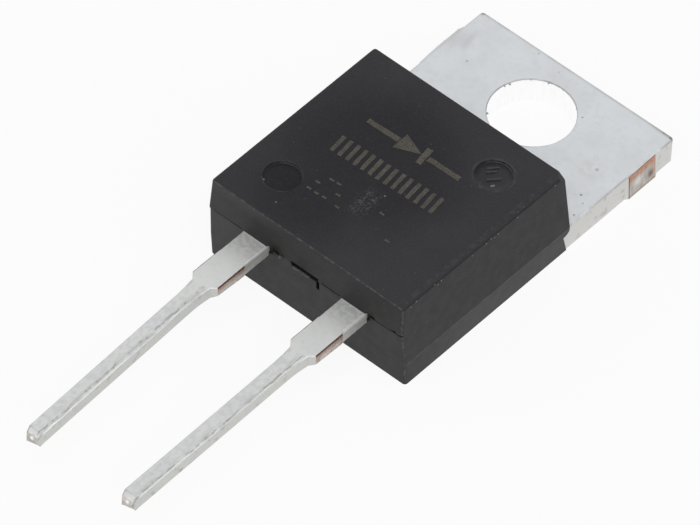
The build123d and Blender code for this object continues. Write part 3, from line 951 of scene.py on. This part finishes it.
# The gap at the front parting line, widest at the right, and the pockets it opens beside the leads.
for left, right, bottom, top, depth, segments, unevenness, seed in (
    (-4.70, -3.22, 3.000, 3.032, 0.10, 12, 0.010, 11),
    (0.86, 1.85, 2.990, 3.040, 0.10, 9, 0.012, 12),
    (3.60, 4.50, 2.995, 3.032, 0.10, 9, 0.012, 13),
    (4.42, 5.00, 2.965, 3.080, 0.12, 5, 0.024, 21),
    (4.54, 4.72, 3.030, 3.140, 0.17, 3, 0.020, 18),
    (4.74, 4.90, 2.950, 3.060, 0.17, 3, 0.020, 19),
    (-1.96, -1.68, 2.640, 3.080, 0.12, 4, 0.030, 14),
    (-1.72, -1.30, 2.870, 3.100, 0.14, 5, 0.030, 15),
    (3.12, 3.34, 2.660, 3.070, 0.13, 4, 0.028, 16),
    (3.30, 3.64, 2.900, 3.110, 0.14, 4, 0.028, 17),
    (-0.71, 0.38, 2.285, 2.340, 0.11, 9, 0.010, 20),
):
    low = (left, body_front - 0.08, bottom)
    high = (right, body_front + depth, top)
    work(moulding, rough_bar(low, high, segments, unevenness, seed, gap), "DIFFERENCE")

# Flash: a crumb beside the left pocket and a pale lip on the tongue below the slot.
for left, right, bottom, top, front, depth, segments, unevenness, seed in (
    (-1.27, -1.15, 2.930, 3.005, -0.08, 0.06, 2, 0.015, 31),
    (-0.62, 0.20, 2.772, 2.806, 0.01, 0.10, 9, 0.008, 32),
):
    low = (left, body_front + front, bottom)
    high = (right, body_front + depth, top)
    work(moulding, rough_bar(low, high, segments, unevenness, seed, flash), "UNION")

# The rims of the round mould marks, and the low ribs in the bottom of the right one.
for (x, y), seed in ((right_mark, 23), (left_mark, 24)):
    bpy.ops.mesh.primitive_torus_add(
        location=(x * mm, y * mm, (marked_face - 0.004) * mm), major_radius=0.815 * mm,
        minor_radius=0.020 * mm, major_segments=80, minor_segments=8,
    )
    rim = new_piece(epoxy)
    roughen(rim, 0.006, seed)
    work(moulding, rim, "UNION")
for x, y, length, seed in ((2.60, -5.62, 0.50, 25), (2.69, -5.80, 0.44, 26), (3.02, -6.04, 0.60, 27)):
    low = (x - length / 2, y - rib_half_width, rib_foot)
    high = (x + length / 2, y + rib_half_width, rib_top)
    rib = rough_bar(low, high, 5, 0.010, seed, epoxy)
    pick(rib)
    bpy.ops.transform.rotate(
        value=math.radians(-50), orient_axis="Z", center_override=(x * mm, y * mm, rib_top * mm),
    )
    bpy.ops.object.transform_apply(location=True, rotation=True, scale=True)
    work(moulding, rib, "UNION")

even_shading(moulding)
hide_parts("moulded_body")
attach(moulding, "root")


# The marking.
# A laser burns the moulding's skin to a dull olive grey. It is a plain one: a diode symbol, a row of bars and
# a few dashes, a little askew on the face.

marking_height = 4.525

burnt = Finish("laser_burnt_epoxy")
burnt_grain = burnt.fade(burnt.patches(0.05, 3.0), 0.35, 0.65)
burnt_patches = burnt.fade(burnt.patches(0.35, 3.0, shift=3.0), 0.35, 0.65)
burnt.colour = burnt.tint(burnt_grain, (0.0650, 0.0600, 0.0510), (0.1180, 0.1090, 0.0920))
burnt.paint(burnt.both(burnt_patches, 0.4), (0.0420, 0.0390, 0.0320))
burnt.set(Base_Color=burnt.colour, Roughness=0.8, Specular_IOR_Level=0.20)


def stroke(row, x, y, width, height, corners=4):
    """One stroke of the marking, its middle at x and y from the start of its row, in millimetres."""
    start_x, start_y, row_turn, upright_turn = row
    row_turn = math.radians(row_turn)
    upright_turn = math.radians(upright_turn)
    place = (
        (start_x + x * math.cos(row_turn) - y * math.sin(upright_turn)) * mm,
        (start_y + x * math.sin(row_turn) + y * math.cos(upright_turn)) * mm,
        marking_height * mm,
    )
    bpy.ops.object.select_all(action="DESELECT")
    if corners == 4:
        turn = row_turn if width > height else upright_turn
        bpy.ops.mesh.primitive_plane_add(size=1, location=place, rotation=(0, 0, turn))
        bpy.context.object.scale = (width * mm, height * mm, 1)
    else:
        # A triangle in a circle of radius 1 has sides of 1.732 and is 1.5 high.
        turn = row_turn - math.radians(90)
        bpy.ops.mesh.primitive_circle_add(
            vertices=corners, radius=1, fill_type="NGON", location=place, rotation=(0, 0, turn),
        )
        bpy.context.object.scale = (height * mm / 1.732, width * mm / 1.5, 1)
    bpy.ops.object.transform_apply(location=True, rotation=True, scale=True)
    return bpy.context.object


upper_row = (-2.52, -7.56, 1.4, 7.0)
lower_row = (-2.67, -9.31, 2.0, 7.0)
bar_count = 14
bar_pitch = 0.380
strokes = [
    stroke(upper_row, 0.79, 0.45, 1.58, 0.25), stroke(upper_row, 1.98, 0.45, 1.08, 0.92, corners=3),
    stroke(upper_row, 2.86, 0.45, 0.26, 0.92), stroke(upper_row, 3.86, 0.45, 1.60, 0.25),
]
for place in range(bar_count):
    strokes.append(stroke(lower_row, 0.10 + bar_pitch * place, 0.465, 0.18, 0.93))
for x, y in (
    (-1.85, -10.90), (-1.90, -11.37), (-1.52, -11.37), (-1.15, -11.34), (-1.53, -10.44), (-1.19, -10.41),
    (-0.84, -10.87), (-0.45, -11.37), (1.06, -10.44), (2.13, -11.37),
):
    strokes.append(stroke((x, y, 2.0, 7.0), 0, 0, 0.22, 0.09))
for piece in strokes:
    piece.select_set(True)
bpy.context.view_layer.objects.active = strokes[0]
bpy.ops.object.join()
marking = bpy.context.object
marking.name = "laser_marking"
marking.data.materials.append(burnt.material)
open_mesh(marking, "VERT")
bpy.ops.mesh.select_all(action="SELECT")
bpy.ops.mesh.subdivide(number_cuts=4)
bpy.ops.transform.vertex_random(offset=0.022 * mm, seed=41)
bpy.ops.transform.resize(value=(1, 1, 0), center_override=(0, 0, marking_height * mm))
bpy.ops.mesh.extrude_region_move(TRANSFORM_OT_translate={"value": (0, 0, 0.011 * mm)})
bpy.ops.mesh.select_all(action="SELECT")
bpy.ops.mesh.normals_make_consistent(inside=False)
bpy.ops.object.mode_set(mode="OBJECT")
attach(marking, "root")


# The table.
# A plain white board, which keeps the part's soft shadow. The camera and the metal see it as white.

def show_directly(tree, usual, direct, most, end):
    """Mixes a second shader in, for rays from the camera and for those that metal and glass send on."""
    path = tree.nodes.new("ShaderNodeLightPath")
    share = path.outputs["Is Camera Ray"]
    for name in ("Is Glossy Ray", "Is Transmission Ray"):
        larger = tree.nodes.new("ShaderNodeMath")
        larger.operation = "MAXIMUM"
        tree.links.new(share, larger.inputs[0])
        tree.links.new(path.outputs[name], larger.inputs[1])
        share = larger.outputs[0]
    limited = tree.nodes.new("ShaderNodeMath")
    limited.operation = "MULTIPLY"
    limited.inputs[1].default_value = most
    mix = tree.nodes.new("ShaderNodeMixShader")
    tree.links.new(share, limited.inputs[0])
    tree.links.new(limited.outputs[0], mix.inputs[0])
    tree.links.new(usual.outputs[0], mix.inputs[1])
    tree.links.new(direct.outputs[0], mix.inputs[2])
    tree.links.new(mix.outputs[0], end.inputs["Surface"])


bpy.ops.mesh.primitive_plane_add(size=1.6, location=(0, -12 * mm, 0))
floor = bpy.context.object
floor.name = "floor"
floor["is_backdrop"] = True
board = Finish("white_board")
board.set(Base_Color=(0.86, 0.86, 0.86), Roughness=0.9)
white = board.nodes.new("ShaderNodeEmission")
show_directly(board.material.node_tree, board.shader, white, 0.90, board.nodes["Material Output"])
floor.data.materials.append(board.material)


# The light.
# An even surround, which the camera and the metal see as white, and three large soft lamps.

surround = bpy.data.worlds.new("surround")
bpy.context.scene.world = surround
surround.use_nodes = True
nodes = surround.node_tree.nodes
even_light = nodes["Background"]
backdrop = nodes.new("ShaderNodeBackground")
for background, strength in ((even_light, 0.45), (backdrop, 1.0)):
    background.inputs["Color"].default_value = (1, 1, 1, 1)
    background.inputs["Strength"].default_value = strength
show_directly(surround.node_tree, even_light, backdrop, 1.0, nodes["World Output"])

middle_of_part = Vector((0, -0.012, 0.002))
for name, watts, size, place in (
    ("top_lamp", 1.00, 0.40, (0.16, -0.22, 0.42)),
    ("left_lamp", 0.40, 0.35, (-0.35, -0.30, 0.25)),
    ("right_lamp", 0.25, 0.35, (0.42, 0.05, 0.25)),
):
    bpy.ops.object.light_add(type="AREA", location=place)
    lamp = bpy.context.object
    lamp.name = name
    lamp.data.energy = watts
    lamp.data.size = size
    towards_part = Vector(place) - middle_of_part
    lamp.rotation_euler = towards_part.to_track_quat("Z", "Y").to_euler()


# The camera, at the photograph's angle.
# A long lens, because the edges of the part run almost parallel in the picture.

camera_place = (0.153584, -0.200757, 0.276662)
camera_turn = (41.51727, -2.10364, 41.35060)
bpy.ops.object.camera_add(location=camera_place, rotation=[math.radians(turn) for turn in camera_turn])
camera = bpy.context.object
camera.data.sensor_width = 36
camera.data.lens = 484.19
camera.data.clip_start = 0.01
bpy.context.scene.camera = camera
bpy.context.scene.view_settings.view_transform = "Standard"

size = {
    "cad": [list(corner) for corner in cad_box],
    "visual": [list(corner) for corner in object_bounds()],
}
